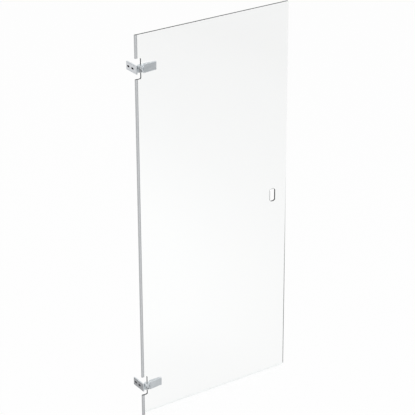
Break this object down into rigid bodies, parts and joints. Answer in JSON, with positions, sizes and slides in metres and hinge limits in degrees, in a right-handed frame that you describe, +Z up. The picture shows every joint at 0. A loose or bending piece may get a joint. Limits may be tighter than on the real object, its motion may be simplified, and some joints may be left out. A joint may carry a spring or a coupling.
{
  "type": "shower door",
  "caption": "Frameless clear glass shower door, hung on wall hinges with notched glass, with edge seal and a finger hole; the leaf swings outward.",
  "frame": {"origin": "on the wall face of the lower hinge's plate, at the hinge's middle height and in the plane of the glass's middle", "axes": "+X from the wall to the closing edge, +Z up, -Y to the outside, where the door swings to"},
  "size_m": [0.877, 0.1014, 2.014],
  "materials": {
    "glass": "clear polished",
    "seal": "satin translucent grey",
    "clear_seal": "clear",
    "chrome": "bright chrome",
    "chrome_bracket": "bright chrome",
    "steel": "turned stainless steel",
    "screw_steel": "stainless steel",
    "bearing_plastic": "natural acetal",
    "gasket": "soft translucent pad"
  },
  "bodies": {
    "root": {"lower_wall_bracket": "chrome_bracket", "lower_wall_cover": "chrome", "lower_hinge_pin": "steel", "lower_thrust_washer": "bearing_plastic", "lower_pinch_screw": "screw_steel", "upper_wall_bracket": "chrome_bracket", "upper_wall_cover": "chrome", "upper_hinge_pin": "steel", "upper_thrust_washer": "bearing_plastic", "upper_pinch_screw": "screw_steel"},
    "leaf": {"glass_panel": "glass", "upper_edge_seal": "seal", "middle_edge_seal": "seal", "lower_edge_seal": "seal", "bottom_seal": "clear_seal", "bottom_lip": "clear_seal", "drip_fin": "clear_seal", "lower_knuckle_bush": "bearing_plastic", "lower_knuckle_cap": "chrome", "lower_outer_clamp": "chrome", "lower_inner_clamp": "chrome", "lower_outer_gasket": "gasket", "lower_inner_gasket": "gasket", "lower_clamp_screws": "screw_steel", "lower_screw_sleeves": "bearing_plastic", "upper_knuckle_bush": "bearing_plastic", "upper_knuckle_cap": "chrome", "upper_outer_clamp": "chrome", "upper_inner_clamp": "chrome", "upper_outer_gasket": "gasket", "upper_inner_gasket": "gasket", "upper_clamp_screws": "screw_steel", "upper_screw_sleeves": "bearing_plastic"}
  },
  "joints": [
    {"name": "leaf_swing", "type": "hinge", "parent": "root", "child": "leaf", "pos_m": [0.0225, -0.015, 0], "axis": [0, 0, -1], "range_deg": [0, 90]}
  ]
}
